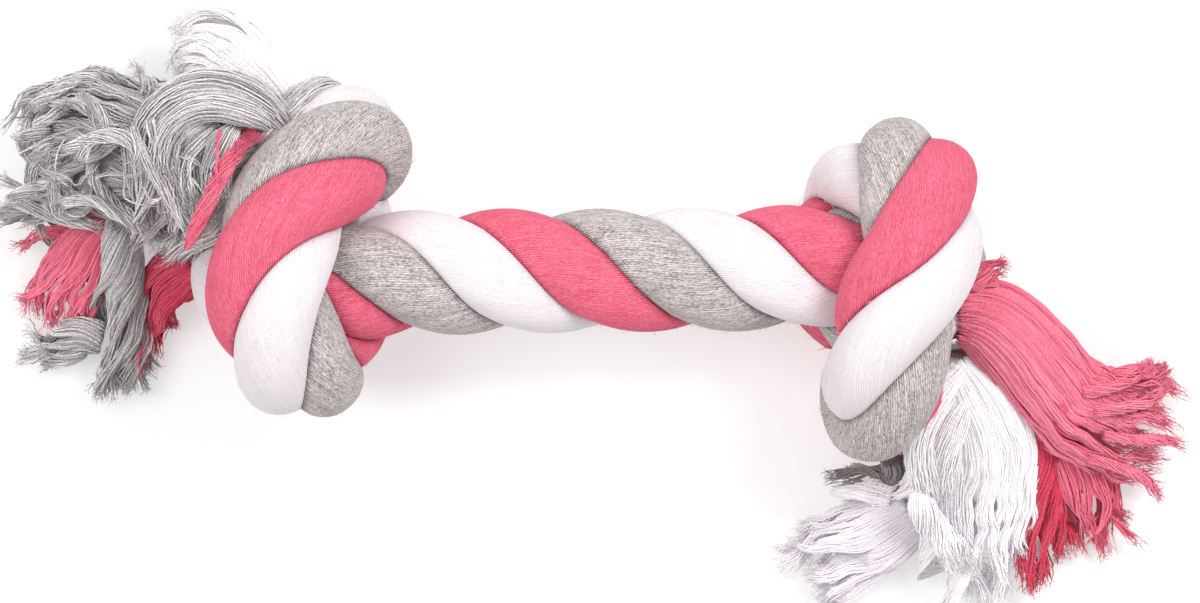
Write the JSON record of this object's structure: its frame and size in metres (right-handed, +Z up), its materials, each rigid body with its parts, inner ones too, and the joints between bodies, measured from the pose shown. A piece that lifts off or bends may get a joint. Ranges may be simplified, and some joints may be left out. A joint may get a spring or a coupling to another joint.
{
  "type": "rope dog toy",
  "caption": "Rope dog toy: a thick rope laid from grey, white and pink cotton strands, with a big knot near each end and loose yarn beyond the knots, lying flat",
  "frame": {"origin": "middle of the bounding box's bottom face, on the ground the toy lies on", "axes": "+X along the rope to the knot with the pink and white tuft, +Y away from the viewer, +Z up from the ground"},
  "size_m": [0.2968, 0.1508, 0.0807],
  "materials": {
    "grey_yarn": "heathered grey cotton yarn, matt",
    "white_yarn": "bleached white cotton yarn, matt",
    "pink_yarn": "coral pink cotton yarn, matt"
  },
  "bodies": {
    "root": {"strand_grey": "grey_yarn", "strand_white": "white_yarn", "strand_pink": "pink_yarn", "left_pink_bundle": "pink_yarn", "left_grey_wisp": "grey_yarn", "left_grey_curtain_lock": "grey_yarn", "left_grey_fringe_lock": "grey_yarn", "left_grey_arch_lock": "grey_yarn", "left_grey_roll_lock": "grey_yarn", "left_pink_wisp": "pink_yarn", "left_pink_fan_lock": "pink_yarn", "left_grey_hanging_lock": "grey_yarn", "left_grey_curl_lock": "grey_yarn", "left_pink_back_lock": "pink_yarn", "left_grey_under_lock": "grey_yarn", "left_white_puff_lock": "white_yarn", "right_pink_top_tuft": "pink_yarn", "right_pink_main_lock": "pink_yarn", "right_white_main_lock": "white_yarn", "right_white_fold_lock": "white_yarn", "right_pink_corner_lock": "pink_yarn", "right_pink_fringe_lock": "pink_yarn", "right_pink_dark_lock": "pink_yarn", "right_white_twist_lock": "white_yarn", "right_white_curl_lock": "white_yarn", "right_grey_lock": "grey_yarn", "right_white_fan_lock": "white_yarn"}
  },
  "joints": []
}
